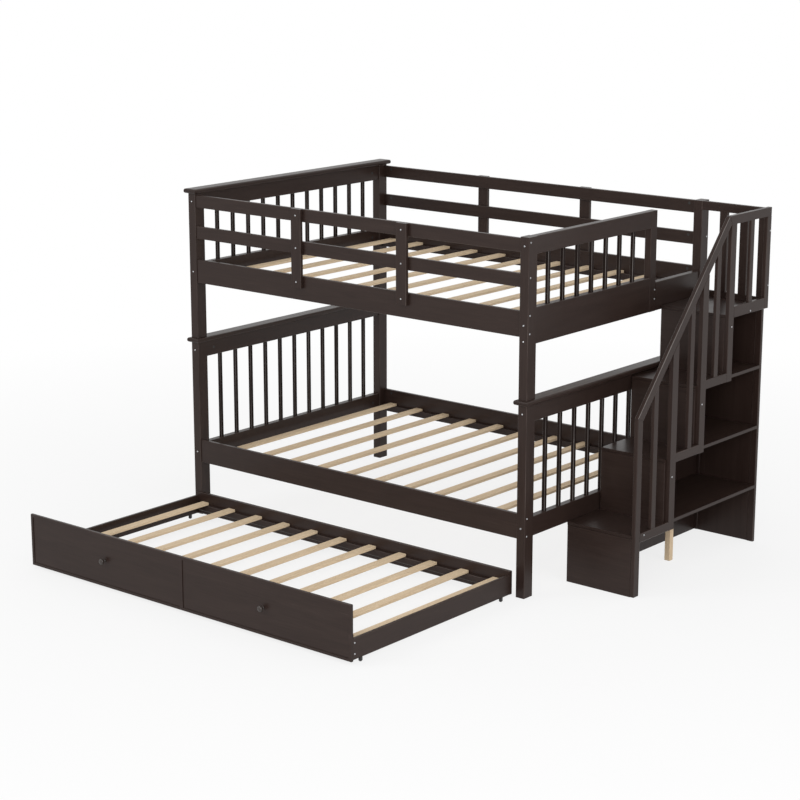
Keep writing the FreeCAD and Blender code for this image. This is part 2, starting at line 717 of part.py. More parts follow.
# Guard across the back of the top step: a rail from the bed's back post to the handrail on short stiles.
landing_y = STAIR_BACK + " + landing_inset"
landing_under = "(landing_rail_top - landing_rail_tall)"
board("landing_guard_rail", "x", "bed_length", landing_y, landing_under,
      "stair_gap + stair_width", "landing_thick", "landing_rail_tall")
for stile_x, wide in (
    (STAIR_X + " + landing_stile_1", "landing_stile_wide"),
    (STAIR_X + " + landing_stile_2", "landing_stile_wide"),
    (HANDRAIL_X + " - landing_end_wide", "landing_end_wide"),
):
    board("landing_guard_stiles", "z", stile_x, landing_y, back_top,
          wide, "landing_thick", "%s - (%s)" % (landing_under, back_top))

# Behind each riser a batten takes the bolts of the handrail post that covers it.
OUTER_X = HANDRAIL_X + " + handrail_thick"
for step in range(2, STEPS + 1):
    batten_y = step_front(step) + " + panel_thick"
    under = "%s - tread_thick" % step_top(step)
    board("stair_battens", "z", HANDRAIL_X + " - batten_side", batten_y, step_top(step - 1),
          "batten_side", "batten_side", "%s - %s" % (under, step_top(step - 1)))
    bolt("bed_bolts", "-x", OUTER_X, batten_y + " + batten_side / 2",
         "%s - stair_bolt_drop_%d" % (under, step), "handrail_thick + stair_bolt_bite",
         "handrail_posts", "stair_battens")

# The first and last foot rails are bolted to the ends of their steps, the end post to its guard.
for bay, bolt_y in ((1, newel_back + " + foot_bolt_inset"), (STEPS, STAIR_FRONT + " + bar_centre_4")):
    bolt("bed_bolts", "-x", OUTER_X, bolt_y, "%s - tread_thick / 2" % step_top(bay),
         "handrail_thick + stair_bolt_bite", "handrail_foot_rails", "stair_treads")
for bolt_z in ("landing_bolt_low", "landing_bolt_high"):
    bolt("bed_bolts", "-x", OUTER_X, landing_y + " + landing_thick / 2", "%s + %s" % (back_top, bolt_z),
         "handrail_thick + landing_end_wide / 2", "handrail_posts", "landing_guard_stiles")

# Trundle: a low box on casters with slats inside and a panelled front.
TRUNDLE_X = "(post_thick + trundle_side_gap)"
TRUNDLE_LONG = "(bed_length - 2 * %s)" % TRUNDLE_X
TRUNDLE_INNER_LONG = "(%s - 2 * trundle_end_thick)" % TRUNDLE_LONG
PANEL_BACK = "(trundle_panel_thick - trundle_out)"
TRUNDLE_BACK = "(trundle_depth - trundle_out)"
PANEL_TALL = "(trundle_panel_top - trundle_panel_bottom)"
board("trundle_front_panel", "x", TRUNDLE_X, "-trundle_out", "trundle_panel_bottom",
      TRUNDLE_LONG, "trundle_panel_thick", PANEL_TALL)
FIELD_LONG = "((%s - 2 * field_border - field_middle) / 2)" % TRUNDLE_LONG
for number in range(2):
    field_x = "%s + field_border + %d * (%s + field_middle)" % (TRUNDLE_X, number, FIELD_LONG)
    field = block("trundle_field_%d" % (number + 1), field_x, "-trundle_out - trim_margin",
                  "trundle_panel_bottom + field_border", FIELD_LONG, "field_depth + trim_margin",
                  PANEL_TALL + " - 2 * field_border")
    bore(field, "trundle_front_panel")

    # Each field carries a round knob at its centre.
    name = next_name("trundle_knobs")
    knob = doc.addObject("PartDesign::Body", name)
    stem = knob.newObject("PartDesign::AdditiveCylinder", name + "_stem")
    bind(stem, Radius="knob_stem_radius", Height="knob_reach + field_depth - knob_half_thick")
    head = knob.newObject("PartDesign::AdditiveEllipsoid", name + "_head")
    bind(head, Radius1="knob_half_thick", Radius2="knob_radius", Radius3="knob_radius")
    head.setExpression("Placement.Base.z", formula("knob_reach + field_depth - knob_half_thick"))
    knob.Placement = FreeCAD.Placement(FreeCAD.Vector(), TURN_TO["-y"])
    place(knob, "%s + %s / 2" % (field_x, FIELD_LONG), "field_depth - trundle_out",
          "(trundle_panel_bottom + trundle_panel_top) / 2")
    add("trundle_knobs", knob)

INNER_X = "(%s + trundle_end_thick)" % TRUNDLE_X
RAIL_BACK = "(%s + trundle_rail_thick)" % PANEL_BACK
BACK_RAIL = "(%s - trundle_rail_thick)" % TRUNDLE_BACK
board("trundle_front_rail", "x", INNER_X, PANEL_BACK, "trundle_rail_bottom",
      TRUNDLE_INNER_LONG, "trundle_rail_thick", "trundle_rail_tall")
board("trundle_back_rail", "x", TRUNDLE_X, BACK_RAIL, "trundle_rail_bottom",
      TRUNDLE_LONG, "trundle_rail_thick", "trundle_back_tall")
for cleat_y in (RAIL_BACK, BACK_RAIL + " - trundle_cleat_wide"):
    board("trundle_slat_cleats", "x", INNER_X, cleat_y, "trundle_cleat_bottom",
          TRUNDLE_INNER_LONG, "trundle_cleat_wide", "trundle_cleat_tall")
slats("trundle_slats", INNER_X, "trundle_slat_inset", "trundle_slat_thick",
      "trundle_cleat_bottom + trundle_cleat_tall", RAIL_BACK, BACK_RAIL)


def caster(name, x, y):
    """Add a fixed caster under an end board at x, y: a fork with its stem and axle, and a wheel."""
    cheek_gap = "wheel_wide + 2 * wheel_side_gap"
    fork_wide = "(%s + 2 * fork_cheek)" % cheek_gap
    plate_bottom = "(2 * wheel_radius + wheel_top_gap)"
    left = "%s - %s / 2" % (x, fork_wide)
    fork_front = "%s - fork_length / 2" % y
    parts = [
        block(name + "_plate", left, fork_front, plate_bottom,
              fork_wide, "fork_length", "trundle_rail_bottom - %s" % plate_bottom),
        rod(name + "_stem", "+z", x, y, "trundle_rail_bottom", "caster_stem_radius", "caster_stem_long"),
        rod(name + "_axle", "+x", left, y, "wheel_radius", "axle_radius", fork_wide),
    ]
    for side, cheek_x in (("left", left), ("right", "%s + %s / 2 - fork_cheek" % (x, fork_wide))):
        parts.append(block("%s_%s_cheek" % (name, side), cheek_x, fork_front, "fork_lift",
                           "fork_cheek", "fork_length", "trundle_rail_bottom - fork_lift"))
    fork = doc.addObject("Part::MultiFuse", name + "_fork")
    fork.Shapes = parts
    add("caster_forks", fork)
    socket = rod(name + "_socket", "+z", x, y, "trundle_rail_bottom",
                 "caster_stem_radius + caster_stem_clearance", "caster_stem_long + caster_stem_clearance")
    bore(socket, "trundle_end_panels")

    wheel = doc.addObject("PartDesign::Body", name + "_wheel_body")
    tread = wheel.newObject("PartDesign::AdditiveCylinder", name + "_tread")
    bind(tread, Radius="wheel_radius", Height="wheel_wide")
    tread.recompute()
    rim = wheel.newObject("PartDesign::Chamfer", name + "_rim")
    rim.Base = (tread, ["Edge1", "Edge3"])
    bind(rim, Size="wheel_chamfer")
    hub = wheel.newObject("PartDesign::SubtractiveCylinder", name + "_hub")
    bind(hub, Radius="axle_radius + axle_clearance", Height="wheel_wide")
    wheel.Placement = FreeCAD.Placement(FreeCAD.Vector(), TURN_TO["+x"])
    place(wheel, "%s - wheel_wide / 2" % x, y, "wheel_radius")
    add(name + "_wheel", wheel)


END_X = {"left": TRUNDLE_X, "right": "(%s + %s - trundle_end_thick)" % (TRUNDLE_X, TRUNDLE_LONG)}
CASTER_Y = {"front": PANEL_BACK + " + caster_inset", "back": BACK_RAIL + " - caster_inset"}
for side, end_x in END_X.items():
    board("trundle_end_panels", "y", end_x, PANEL_BACK, "trundle_rail_bottom",
          "trundle_end_thick", "%s - %s" % (BACK_RAIL, PANEL_BACK), "trundle_end_tall")
    for depth, caster_y in CASTER_Y.items():
        caster("%s_%s_caster" % (depth, side), end_x + " + trundle_end_thick / 2", caster_y)
    outer_x, axis = {
        "left": (TRUNDLE_X, "+x"),
        "right": ("%s + %s" % (TRUNDLE_X, TRUNDLE_LONG), "-x"),
    }[side]
    for height in ("trundle_bolt_low", "trundle_bolt_high"):
        bolt_z = "trundle_rail_bottom + " + height
        bolt("trundle_bolts", axis, outer_x, PANEL_BACK + " + trundle_rail_thick / 2", bolt_z,
             "trundle_end_thick + trundle_bolt_bite", "trundle_end_panels", "trundle_front_rail")
        bolt("trundle_bolts", "-y", end_x + " + trundle_end_thick / 2", TRUNDLE_BACK, bolt_z,
             "trundle_rail_thick + trundle_bolt_bite", "trundle_back_rail", "trundle_end_panels")

# Each piece becomes one object: its solids together, with what is bored out of them taken away.
finished = {}
for piece, members in solids.items():
    whole = members[0]
    if len(members) > 1:
        whole = doc.addObject("Part::Compound", piece + "_group")
        whole.Links = members
    if piece in holes:
        tools = doc.addObject("Part::Compound", piece + "_holes")
        tools.Links = holes[piece]
        bored = doc.addObject("Part::Cut", piece + "_bored")
        bored.Base = whole
        bored.Tool = tools
        whole = bored
    whole.Label = piece
    finished[piece] = whole
doc.recompute()

for thing in doc.Objects:
    if "Invalid" in thing.State or "Error" in thing.State:
        raise RuntimeError("%s did not build" % thing.Label)
for piece, whole in finished.items():
    if whole.Shape.isNull() or not whole.Shape.isValid():
        raise RuntimeError("%s has no valid shape" % piece)
    if len(whole.Shape.Solids) != len(solids[piece]):
        raise RuntimeError("%s is not made of the solids listed for it" % piece)

os.makedirs("parts", exist_ok=True)
for piece, whole in finished.items():
    whole.Shape.exportStep("parts/%s.step" % piece)
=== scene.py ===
import math

import bmesh
import bpy
from mathutils import Matrix, Vector


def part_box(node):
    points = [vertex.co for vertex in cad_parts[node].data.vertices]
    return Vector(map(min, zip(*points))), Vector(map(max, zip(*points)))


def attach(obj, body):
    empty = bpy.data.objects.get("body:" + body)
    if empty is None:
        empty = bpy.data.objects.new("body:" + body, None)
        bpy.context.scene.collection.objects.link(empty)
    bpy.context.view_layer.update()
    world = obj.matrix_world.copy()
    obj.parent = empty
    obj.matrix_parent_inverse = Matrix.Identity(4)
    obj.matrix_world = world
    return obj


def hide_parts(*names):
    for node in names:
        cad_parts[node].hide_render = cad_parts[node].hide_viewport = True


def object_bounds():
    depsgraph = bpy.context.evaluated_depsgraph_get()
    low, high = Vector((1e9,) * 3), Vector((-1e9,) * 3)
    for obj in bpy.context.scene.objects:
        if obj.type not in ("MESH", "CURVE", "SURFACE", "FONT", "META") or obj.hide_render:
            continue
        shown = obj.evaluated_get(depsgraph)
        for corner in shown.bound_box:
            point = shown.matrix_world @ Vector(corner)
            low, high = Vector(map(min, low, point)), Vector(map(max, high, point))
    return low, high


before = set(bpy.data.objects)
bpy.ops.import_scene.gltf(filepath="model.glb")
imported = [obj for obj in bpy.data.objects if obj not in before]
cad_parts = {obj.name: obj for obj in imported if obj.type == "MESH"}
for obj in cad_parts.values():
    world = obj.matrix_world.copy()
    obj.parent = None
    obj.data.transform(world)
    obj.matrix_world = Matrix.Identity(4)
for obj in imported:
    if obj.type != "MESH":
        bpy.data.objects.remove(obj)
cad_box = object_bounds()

# Lower posts: four pine posts, planed square and eased along their edges, stained dark brown and
# sprayed with a satin lacquer. Their eased edges are painted paler, partly as wear of the lacquer and
# partly as a painted highlight. The rest of the bed is bolted to them.
SPRAYED_DEEP = (0.0230, 0.0134, 0.0108, 1.0)
SPRAYED_MIDDLE = (0.0325, 0.0198, 0.0161, 1.0)
# Painted highlight and wear: the paler tone laid on the eased edges of the sprayed stain.
SPRAYED_RUBBED_AND_HIGHLIT = (0.0950, 0.0720, 0.0630, 1.0)
SPRAYED_STAIN_AND_HIGHLIGHT = (SPRAYED_DEEP, SPRAYED_MIDDLE, SPRAYED_RUBBED_AND_HIGHLIT)
SPRAYED_WEAR_AND_HIGHLIGHT = 0.25
SPRAYED_SHINE = 0.19
STAIN_STOPS = (0.32, 0.62, 1.0)
STAIN_SATIN = (0.28, 0.40)
STAIN_BUMP = 0.18
FIBRE_GRAIN = {"stretch": 0.035, "per_metre": 210.0, "detail": 6.0, "distortion": 0.3}
FIGURE_GRAIN = {"stretch": 0.10, "per_metre": 16.0, "detail": 3.0, "distortion": 1.4}
PORE_GRAIN = {"stretch": 0.02, "per_metre": 1100.0, "detail": 2.0, "distortion": 0.0}
GRAIN_ROUGHNESS = 0.6
GRAIN_RANGE = (0.3, 0.7)
GRAIN_DEPTH = 0.0005
FIBRE_SHARE = 0.5
FIGURE_SHARE = 0.5
PORE_SHARE = 0.5
END_SHADE = -0.15
EDGE_PATCH_FIGURE = (0.35, 0.65)
EDGE_PATCH_SHARES = (0.7, 1.0)
SQUARE_TO_ASKEW = (0.97, 0.76)
ALONG_TO_ACROSS = (0.15, 0.40)
ASKEW_TO_END_ON = (0.85, 0.95)
ALONG_Z = (0.0, 0.0, 0.0)


def shader_node(tree, kind, inputs=None, **settings):
    """Add a node, set its options, and set or link its inputs."""
    made = tree.nodes.new(kind)
    for option, value in settings.items():
        setattr(made, option, value)
    for socket, value in (inputs or {}).items():
        if isinstance(value, bpy.types.NodeSocket):
            tree.links.new(value, made.inputs[socket])
        else:
            made.inputs[socket].default_value = value
    return made


def new_finish(name):
    """Start a material, and return it with its node tree and its surface shader."""
    finish = bpy.data.materials.new(name)
    finish.use_nodes = True
    return finish, finish.node_tree, finish.node_tree.nodes["Principled BSDF"]


def turned_to_fibre(tree, vector, turn):
    """A vector turned so that the wood's fibres run along Z."""
    return shader_node(tree, "ShaderNodeMapping", {"Vector": vector, "Rotation": turn}).outputs["Vector"]


def grain_noise(tree, along, stretch, per_metre, detail, distortion):
    """Noise drawn out along Z, which is the way the fibres run."""
    drawn = shader_node(tree, "ShaderNodeMapping", {"Vector": along, "Scale": (1.0, 1.0, stretch)})
    return shader_node(tree, "ShaderNodeTexNoise", {
        "Vector": drawn.outputs["Vector"],
        "Scale": per_metre,
        "Detail": detail,
        "Roughness": GRAIN_ROUGHNESS,
        "Distortion": distortion,
    }).outputs[0]


def combined(tree, operation, *values):
    """One value worked out from others."""
    return shader_node(tree, "ShaderNodeMath", dict(enumerate(values)), operation=operation).outputs[0]


def spread(tree, value, low, high, to_low, to_high):
    """Carry a value from one range to another, and no further."""
    return shader_node(tree, "ShaderNodeMapRange", {
        "Value": value, "From Min": low, "From Max": high, "To Min": to_low, "To Max": to_high,
    }).outputs[0]


def facing_shares(tree, facing):
    """How squarely a face looks along X, Y and Z."""
    size = shader_node(tree, "ShaderNodeVectorMath", {0: facing}, operation="ABSOLUTE")
    return shader_node(tree, "ShaderNodeSeparateXYZ", {0: size.outputs[0]}).outputs


def eased_edge(tree, facing):
    """1 on the eased edges along a board, which look askew, and 0 on its sides and its ends."""
    across, through, along = facing_shares(tree, facing)
    squarest = combined(tree, "MAXIMUM", combined(tree, "MAXIMUM", across, through), along)
    askew = spread(tree, squarest, *SQUARE_TO_ASKEW, 0.0, 1.0)
    lengthwise = spread(tree, along, *ALONG_TO_ACROSS, 1.0, 0.0)
    return combined(tree, "MULTIPLY", askew, lengthwise)


def end_grain(tree, facing):
    """1 on the ends of a board, where the fibres are cut across, and 0 elsewhere."""
    return spread(tree, facing_shares(tree, facing)[2], *ASKEW_TO_END_ON, 0.0, 1.0)


def tone_ramp(tree, tone, *stops):
    """A colour for each tone, from stops of a place and a colour."""
    ramp = shader_node(tree, "ShaderNodeValToRGB", {"Fac": tone})
    elements = ramp.color_ramp.elements
    elements[0].position, elements[0].color = stops[0]
    elements[1].position, elements[1].color = stops[-1]
    for position, color in stops[1:-1]:
        elements.new(position).color = color
    return ramp.outputs["Color"]


def lay_finish(tree, shader, color, satin, shine, height, bump_strength):
    """Put a wood's colour, gloss and grain on its surface."""
    tree.links.new(color, shader.inputs["Base Color"])
    tree.links.new(satin, shader.inputs["Roughness"])
    shader.inputs["Specular IOR Level"].default_value = shine
    bump = shader_node(tree, "ShaderNodeBump", {
        "Height": height, "Strength": bump_strength, "Distance": GRAIN_DEPTH,
    })
    tree.links.new(bump.outputs["Normal"], shader.inputs["Normal"])


def stained_wood(name, turn, stain, wear_and_highlight, shine):
    """Dark satin stain on pine whose fibres run along Z once it is turned. Its eased edges are painted
    paler in patches as a painted highlight, and on the sprayed stain that paler tone also stands for wear.
    """
    finish, tree, shader = new_finish(name)
    place = shader_node(tree, "ShaderNodeTexCoord").outputs
    along = turned_to_fibre(tree, place["Object"], turn)
    facing = turned_to_fibre(tree, place["Normal"], turn)
    fibres = grain_noise(tree, along, **FIBRE_GRAIN)
    figure = grain_noise(tree, along, **FIGURE_GRAIN)
    pores = grain_noise(tree, along, **PORE_GRAIN)
    # Painted highlight on the eased edges, in patches; on the sprayed stain it is partly wear as well.
    patches = spread(tree, figure, *EDGE_PATCH_FIGURE, *EDGE_PATCH_SHARES)
    rubbed_and_highlit = combined(tree, "MULTIPLY", eased_edge(tree, facing), patches)
    tone = combined(tree, "MULTIPLY", figure, FIGURE_SHARE)
    tone = combined(tree, "MULTIPLY_ADD", fibres, FIBRE_SHARE, tone)
    tone = combined(tree, "MULTIPLY_ADD", rubbed_and_highlit, wear_and_highlight, tone)
    tone = combined(tree, "MULTIPLY_ADD", end_grain(tree, facing), END_SHADE, tone)
    color = tone_ramp(tree, tone, *zip(STAIN_STOPS, stain))
    satin = spread(tree, fibres, *GRAIN_RANGE, *STAIN_SATIN)
    height = combined(tree, "MULTIPLY_ADD", pores, PORE_SHARE, fibres)
    lay_finish(tree, shader, color, satin, shine, height, STAIN_BUMP)
    return finish


def dress(finish, *names):
    """Give CAD nodes their finish."""
    for name in names:
        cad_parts[name].material_slots[0].material = finish


upright_stain = stained_wood("upright_stain", ALONG_Z, SPRAYED_STAIN_AND_HIGHLIGHT, SPRAYED_WEAR_AND_HIGHLIGHT, SPRAYED_SHINE)
CORNERS = ("front_left", "front_right", "back_left", "back_right")
for corner in CORNERS:
    dress(upright_stain, "lower_%s_post" % corner)

# Lower end rails: a deep rail under and another over the bars at each end, pine boards stained
# like the posts, their grain across the bed. Bolts through the posts draw them up tight.
ALONG_Y = (math.pi / 2, 0.0, 0.0)
crosswise_stain = stained_wood("crosswise_stain", ALONG_Y, SPRAYED_STAIN_AND_HIGHLIGHT, SPRAYED_WEAR_AND_HIGHLIGHT, SPRAYED_SHINE)
dress(crosswise_stain, "lower_bottom_end_rails", "lower_top_end_rails")

# Lower bars: slim pine bars, sawn square and sanded round at the edges, dipped in the stain, which
# leaves them darker, and glued by their ends into mortises in the two end rails. Their rounded edges
# carry a painted highlight, a pale tone laid into their colour.
DIPPED_DEEP = (0.0110, 0.0065, 0.0054, 1.0)
DIPPED_MIDDLE = (0.0165, 0.0102, 0.0084, 1.0)
# Painted highlight: the pale tone on the rounded edges of the bars.
DIPPED_EDGE_HIGHLIGHT = (0.1800, 0.1650, 0.1570, 1.0)
DIPPED_STAIN_AND_HIGHLIGHT = (DIPPED_DEEP, DIPPED_MIDDLE, DIPPED_EDGE_HIGHLIGHT)
DIPPED_HIGHLIGHT_SHARE = 0.55
DIPPED_SHINE = 0.08
BAR_ROUNDING = 0.0037
ONE_POINT = 0.00001
SANDED_STEPS = 3
SANDED_ANGLE = math.radians(40.0)
FLAT_SIDES = 100


def sand_edges(rounding, *names):
    """Round the sharp edges of CAD nodes as sanding does."""
    for name in names:
        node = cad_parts[name]
        node.modifiers.new("one_skin", "WELD").merge_threshold = ONE_POINT
        sanded = node.modifiers.new("sanded_edges", "BEVEL")
        sanded.width = rounding
        sanded.segments = SANDED_STEPS
        sanded.limit_method = "ANGLE"
        sanded.angle_limit = SANDED_ANGLE
        node.modifiers.new("flat_sides", "WEIGHTED_NORMAL").weight = FLAT_SIDES


bar_stain = stained_wood("bar_stain", ALONG_Z, DIPPED_STAIN_AND_HIGHLIGHT, DIPPED_HIGHLIGHT_SHARE, DIPPED_SHINE)
dress(bar_stain, "lower_balusters")
sand_edges(BAR_ROUNDING, "lower_balusters")

# Lower caps: round-edged boards glued over the posts and top rails of the lower ends. The upper
# posts stand on them, and the one at the foot is cut flush beside the top step.
dress(crosswise_stain, "lower_head_cap", "lower_foot_cap")

# Lower long rails: wide pine boards that hang between the posts at the front and the back, grain
# lengthwise, each end held by two bolts in barrel nuts.
ALONG_X = (0.0, -math.pi / 2, 0.0)
lengthwise_stain = stained_wood("lengthwise_stain", ALONG_X, SPRAYED_STAIN_AND_HIGHLIGHT, SPRAYED_WEAR_AND_HIGHLIGHT, SPRAYED_SHINE)
dress(lengthwise_stain, "lower_side_rails")

# Upper posts: shorter posts of the same pine and stain, eased along their edges in the same way.
# They stand on the caps of the lower posts.
for corner in CORNERS:
    dress(upright_stain, "upper_%s_post" % corner)

# Dowels: bare turned pegs that stand half in a lower post and half in the upper one, through the
# cap between them. They keep the upper bunk in place and don't show once it stands.
PINE_PALE = (0.830, 0.660, 0.460, 1.0)
PINE_MIDDLE = (0.755, 0.588, 0.398, 1.0)
PINE_RING = (0.615, 0.453, 0.285, 1.0)
PINE_TONES = (PINE_PALE, PINE_MIDDLE, PINE_RING)
PINE_STOPS = (0.18, 0.55, 0.98)
PINE_SATIN = (0.55, 0.70)
PINE_SHINE = 0.25
PINE_BUMP = 0.25
RING_GRAIN = {"stretch": 0.06, "per_metre": 22.0, "detail": 3.0, "distortion": 0.8}
RING_TURNS = 55.0
RING_SHADE = 0.24
PINE_FIBRE_SHARE = 0.6
BOARD_SHADE = 0.20
PINE_END_SHADE = 0.30
BOARD_SHIFT = (3.0, 3.0, 3.0)
WHOLE_BED = (4.0, 4.0, 4.0)


def bare_pine(name, turn, start, pitch):
    """Bare pine, its fibres along Z once it is turned, with its own tone in every cell of a grid."""
    finish, tree, shader = new_finish(name)
    place = shader_node(tree, "ShaderNodeTexCoord").outputs
    off = shader_node(tree, "ShaderNodeVectorMath", {0: place["Object"], 1: start}, operation="SUBTRACT")
    cells = shader_node(tree, "ShaderNodeVectorMath", {0: off.outputs[0], 1: pitch}, operation="DIVIDE")
    cell = shader_node(tree, "ShaderNodeVectorMath", {0: cells.outputs[0]}, operation="FLOOR")
    chance = shader_node(tree, "ShaderNodeTexWhiteNoise", {"Vector": cell.outputs[0]}).outputs
    shifted = shader_node(tree, "ShaderNodeVectorMath", {
        0: chance["Color"], 1: BOARD_SHIFT, 2: place["Object"],
    }, operation="MULTIPLY_ADD")
    along = turned_to_fibre(tree, shifted.outputs[0], turn)
    facing = turned_to_fibre(tree, place["Normal"], turn)
    fibres = grain_noise(tree, along, **FIBRE_GRAIN)
    figure = grain_noise(tree, along, **RING_GRAIN)
    ring_wave = combined(tree, "SINE", combined(tree, "MULTIPLY", figure, RING_TURNS))
    tone = spread(tree, ring_wave, -1.0, 1.0, 0.0, RING_SHADE)
    tone = combined(tree, "MULTIPLY_ADD", fibres, PINE_FIBRE_SHARE, tone)
    tone = combined(tree, "MULTIPLY_ADD", chance["Value"], BOARD_SHADE, tone)
    tone = combined(tree, "MULTIPLY_ADD", end_grain(tree, facing), PINE_END_SHADE, tone)
    color = tone_ramp(tree, tone, *zip(PINE_STOPS, PINE_TONES))
    satin = spread(tree, fibres, *GRAIN_RANGE, *PINE_SATIN)
    lay_finish(tree, shader, color, satin, PINE_SHINE, fibres, PINE_BUMP)
    return finish


upright_pine = bare_pine("upright_pine", ALONG_Z, cad_box[0], WHOLE_BED)
dress(upright_pine, "post_dowels")

# Upper head end: a board at mattress height, a top rail with a round-edged cap over it, and
# bars between them, all stained pine, bolted between the head posts.
dress(crosswise_stain, "upper_head_board", "upper_head_top_rail", "upper_head_cap")
dress(bar_stain, "upper_head_balusters")
sand_edges(BAR_ROUNDING, "upper_head_balusters")

# Upper foot end: a wider board, the same top rail and bars, but only as far as the gate post. Past
# it a lower board, bolted to the back post, closes the foot of the way in from the stairs.
dress(crosswise_stain, "upper_foot_board", "upper_foot_top_rail", "entry_board")
dress(upright_stain, "gate_post")
dress(bar_stain, "upper_foot_balusters")
sand_edges(BAR_ROUNDING, "upper_foot_balusters")

# Upper long rails and guards: boards of the same pine that run from post to post, the guards in
# two rows above the long rails so that nobody rolls out.
dress(lengthwise_stain, "upper_side_rails", "guard_middle_rails", "guard_top_rails")

# Guard stiles: two short boards at the front and two at the back, bolted flat on the outside of
# the guards and the long rail to tie them together.
dress(upright_stain, "guard_stiles")

# Slat cleats: strips of stained pine glued along the inside of the four long rails, flush with
# their bottom edges, for the slats to lie on.
dress(lengthwise_stain, "bunk_slat_cleats")

# Bunk slats: eleven bare planed pine slats in each bunk, laid across it on the cleats. Their edges
# are sanded, and each was cut from another board, so their tones differ.
SLATS_ACROSS = 11
SLAT_ROUNDING = 0.0015
SLAT_WIDE = 0.044
BUNK_APART = 0.9


def slat_grid(name):
    """Where a grid with one slat in each cell starts, and how far apart its cells are."""
    low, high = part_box(name)
    pitch = (high[0] - low[0] - SLAT_WIDE) / (SLATS_ACROSS - 1)
    return (low[0] + (SLAT_WIDE - pitch) / 2, low[1], 0.0), (pitch, high[1] - low[1], BUNK_APART)


bunk_pine = bare_pine("bunk_pine", ALONG_Y, *slat_grid("bunk_slats"))
dress(bunk_pine, "bunk_slats")
sand_edges(SLAT_ROUNDING, "bunk_slats")

# Bed bolts: zinc-plated steel bolts with low round heads and hexagon sockets, put through the
# posts, stiles and handrail and tightened with a key. Only the heads show.
ZINC_DULL = (0.40, 0.405, 0.42, 1.0)
ZINC_CLEAR = (0.62, 0.625, 0.64, 1.0)
ZINC_TONES = (ZINC_DULL, ZINC_CLEAR)
ZINC_STOPS = (0.35, 0.65)
ZINC_CLOUDS = {"per_metre": 400.0, "detail": 2.0}
ZINC_SATIN = (0.45, 0.28)
PEEL_DEPTH = 0.0002
SHARP_ANGLE = math.radians(35.0)
SORTED_DIGITS = 4
BOLT_ROUND = 24
BOLT_HEAD = 0.0020
BOLT_END_BAND = 0.0005
BOLT_TAPER = 0.2

# Each pair is a share of the head's radius and a share of its height.
SOCKET_FORM = ((0.5, 0.35), (0.5, 0.97))
SOCKET_CORNERS = 6
HEAD_FORM = ((0.62, 1.0), (0.88, 0.78), (1.0, 0.40), (1.0, 0.0))


def clouded_coat(name, tones, stops, clouds, satin, metallic=0.0, peel=0.0):
    """A coat with soft clouds in its colour and its gloss, and a fine peel if it has one."""
    finish, tree, shader = new_finish(name)
    place = shader_node(tree, "ShaderNodeTexCoord").outputs
    cloud = shader_node(tree, "ShaderNodeTexNoise", {
        "Vector": place["Object"], "Scale": clouds["per_metre"], "Detail": clouds["detail"],
    }).outputs[0]
    tree.links.new(tone_ramp(tree, cloud, *zip(stops, tones)), shader.inputs["Base Color"])
    tree.links.new(spread(tree, cloud, *GRAIN_RANGE, *satin), shader.inputs["Roughness"])
    shader.inputs["Metallic"].default_value = metallic
    if peel:
        bump = shader_node(tree, "ShaderNodeBump", {
            "Height": cloud, "Strength": peel, "Distance": PEEL_DEPTH,
        })
        tree.links.new(bump.outputs["Normal"], shader.inputs["Normal"])
    return finish


def corners_of(points):
    """The lowest and the highest corner of the box round some points."""
    low = Vector(min(point[axis] for point in points) for axis in range(3))
    high = Vector(max(point[axis] for point in points) for axis in range(3))
    return low, high


def loose_solids(name):
    """The points of each separate solid in a CAD node, in order of where the solids are."""
    skin = bmesh.new()
    skin.from_mesh(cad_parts[name].data)
    bmesh.ops.remove_doubles(skin, verts=skin.verts, dist=ONE_POINT)
    waiting = set(skin.verts)
    found = []
    for first in skin.verts:
        if first not in waiting:
            continue
        waiting.remove(first)
        reached = [first]
        points = []
        while reached:
            vert = reached.pop()
            points.append(vert.co.copy())
            for edge in vert.link_edges:
                other = edge.other_vert(vert)
                if other in waiting:
                    waiting.remove(other)
                    reached.append(other)
        found.append(points)
    skin.free()
    return sorted(found, key=lambda solid: [round(side, SORTED_DIGITS) for side in corners_of(solid)[0]])


def ring(radius, height, sides, corners=0):
    """Points round the Z axis, on a circle or on an even shape with so many corners."""
    points = []
    for number in range(sides):
        turn = 2.0 * math.pi * number / sides
        reach = radius
        if corners:
            half = math.pi / corners
            reach = radius * math.cos(half) / math.cos(turn % (2.0 * half) - half)
        points.append(Vector((reach * math.cos(turn), reach * math.sin(turn), height)))
    return points


def add_turned(skin, rings, place, bored=False):
    """Add a turned form made of rings to a skin, closed at both ends or, if bored, round its bore."""
    made = [[skin.verts.new(place @ point) for point in points] for points in rings]
    pairs = list(zip(made, made[1:]))
    if bored:
        pairs.append((made[-1], made[0]))
    else:
        skin.faces.new(list(reversed(made[0])))
        skin.faces.new(made[-1])
    for lower, upper in pairs:
        for number in range(len(lower)):
            after = (number + 1) % len(lower)
            skin.faces.new((lower[number], lower[after], upper[after], upper[number]))


def pointing(outward, place):
    """A placement with its Z axis along a direction."""
    return Matrix.Translation(place) @ Vector(outward).to_track_quat("Z", "Y").to_matrix().to_4x4()


def fit_piece(name, skin, finish, body, node):
    """Make a piece of a skin, in place of a CAD node."""
    bmesh.ops.recalc_face_normals(skin, faces=skin.faces)
    mesh = bpy.data.meshes.new(name)
    skin.to_mesh(mesh)
    skin.free()
    mesh.shade_smooth()
    mesh.set_sharp_from_angle(angle=SHARP_ANGLE)
    mesh.materials.append(finish)
    piece = bpy.data.objects.new(name, mesh)
    bpy.context.scene.collection.objects.link(piece)
    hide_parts(node)
    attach(piece, body)


